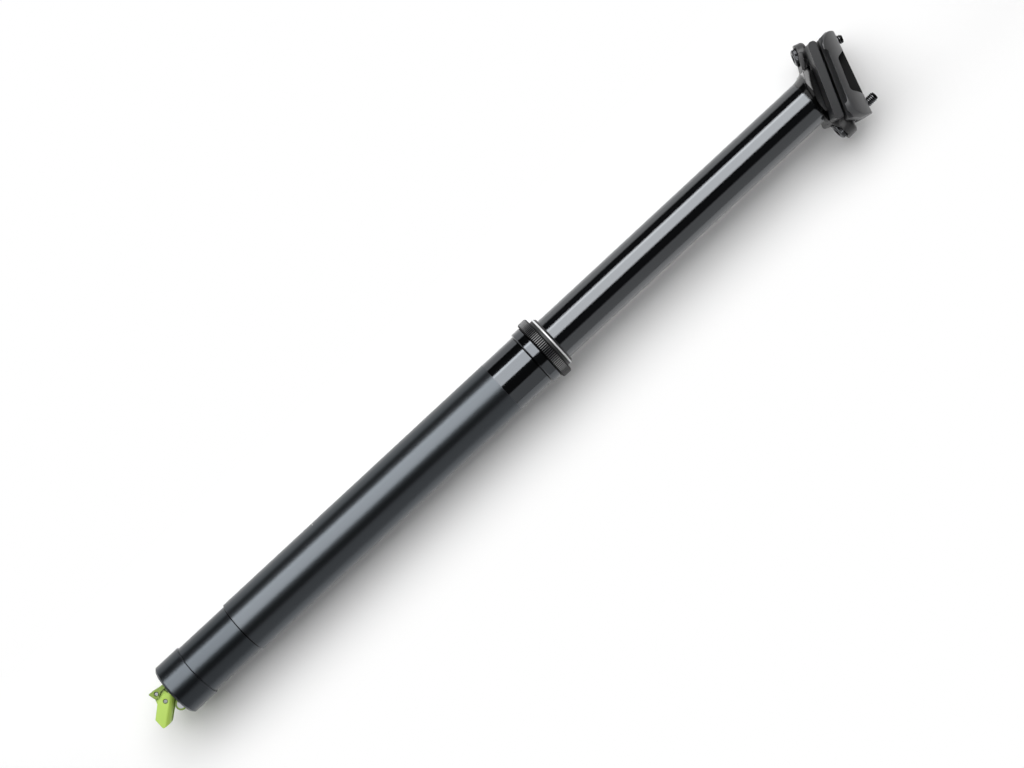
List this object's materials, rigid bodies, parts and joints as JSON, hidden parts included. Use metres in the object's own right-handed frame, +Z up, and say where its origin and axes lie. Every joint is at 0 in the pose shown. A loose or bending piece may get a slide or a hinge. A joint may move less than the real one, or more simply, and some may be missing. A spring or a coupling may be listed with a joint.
{
  "type": "dropper seatpost",
  "caption": "Telescopic bicycle seatpost with a knurled seal collar, a two-bolt saddle rail clamp and a cable lever under its end cap.",
  "frame": {"origin": "on the post's axis at the underside of the insertion stop", "axes": "+Z up the post to the saddle, +X to the front of the bicycle, +Y to the bicycle's left"},
  "size_m": [0.055, 0.052, 0.502],
  "materials": {
    "tube_black": "matte black anodised",
    "collar_black": "black anodised, knurled",
    "stanchion_black": "gloss black hard anodised",
    "head_dark": "dark anodised, satin",
    "cradle_grey": "dark grey anodised, satin",
    "clamp_grey": "mid grey anodised, matte",
    "lever_green": "lime green anodised, satin",
    "raw_aluminium": "turned",
    "steel": "turned",
    "bolt_steel": "dark plated",
    "bright_ring": "bright",
    "brass": "turned",
    "rubber": "matte",
    "bushing_plastic": "matte"
  },
  "bodies": {
    "outer": {"outer_tube": "tube_black", "seal_collar": "collar_black", "wiper_seal": "rubber", "wiper_ring": "bright_ring", "upper_bushing": "bushing_plastic", "end_cap": "tube_black", "shaft": "steel", "main_piston": "raw_aluminium", "piston_ring": "rubber", "actuator_base": "lever_green", "lever_pin": "steel", "cable_barrel": "steel"},
    "lever": {"actuator_lever": "lever_green", "roller_pin": "steel"},
    "valve": {"push_rod": "steel", "valve_poppet": "brass"},
    "upper_post": {"stanchion": "stanchion_black", "saddle_head": "head_dark", "lower_bushing": "bushing_plastic", "guide_keys": "brass", "retaining_ring": "steel", "cartridge_tube": "raw_aluminium", "seal_head": "raw_aluminium", "rod_seal": "rubber", "head_oring": "rubber", "cartridge_cap": "raw_aluminium", "cap_oring": "rubber"},
    "gas_piston": {"floating_piston": "raw_aluminium", "floating_ring": "rubber"},
    "clamp": {"lower_cradle": "cradle_grey", "upper_clamp": "clamp_grey"},
    "rear_barrel": {"rear_nut": "steel"},
    "front_barrel": {"front_nut": "steel"},
    "rear_screw": {"rear_bolt": "bolt_steel", "rear_washer": "steel"},
    "front_screw": {"front_bolt": "bolt_steel", "front_washer": "steel"}
  },
  "joints": [
    {"name": "saddle_drop", "type": "slide", "parent": "outer", "child": "upper_post", "axis": [0, 0, 1], "range_m": [-0.18, 0], "stiffness_N_per_m": 300, "springref_m": 0.25},
    {"name": "gas_piston_slide", "type": "slide", "parent": "upper_post", "child": "gas_piston", "axis": [0, 0, 1], "range_m": [0, 0.032]},
    {"name": "lever_pivot", "type": "hinge", "parent": "outer", "child": "lever", "pos_m": [-0.0051, 0, -0.2606], "axis": [0, -1, 0], "range_deg": [0, 20], "stiffness_Nm_per_rad": 0.5, "springref_deg": -17.19},
    {"name": "valve_slide", "type": "slide", "parent": "outer", "child": "valve", "axis": [0, 0, 1], "range_m": [0, 0.00196]},
    {"name": "clamp_tilt", "type": "hinge", "parent": "upper_post", "child": "clamp", "pos_m": [0.00768, 0, 0.22741], "axis": [0, 1, 0], "range_deg": [-5, 5]},
    {"name": "rear_nut_turn", "type": "hinge", "parent": "clamp", "child": "rear_barrel", "pos_m": [-0.01568, 0, 0.2228], "axis": [0, 1, 0], "range_deg": [-11, 11]},
    {"name": "rear_bolt_feed", "type": "slide", "parent": "rear_barrel", "child": "rear_screw", "axis": [0.342, 0, 0.9397], "range_m": [-0.003, 0.003]},
    {"name": "front_nut_turn", "type": "hinge", "parent": "clamp", "child": "front_barrel", "pos_m": [0.02084, 0, 0.21269], "axis": [0, 1, 0], "range_deg": [-11, 11]},
    {"name": "front_bolt_feed", "type": "slide", "parent": "front_barrel", "child": "front_screw", "axis": [-0.0349, 0, 0.9994], "range_m": [-0.003, 0.003]}
  ],
  "couplings": [
    {"joint": "gas_piston_slide", "follows": "saddle_drop", "ratio": -0.17729},
    {"joint": "lever_pivot", "follows": "valve_slide", "rad_per_m": 177.76},
    {"joint": "rear_nut_turn", "follows": "clamp_tilt", "ratio": -1.6818},
    {"joint": "rear_bolt_feed", "follows": "clamp_tilt", "m_per_rad": -0.020296},
    {"joint": "front_nut_turn", "follows": "clamp_tilt", "ratio": -1.9421},
    {"joint": "front_bolt_feed", "follows": "clamp_tilt", "m_per_rad": 0.012569}
  ]
}
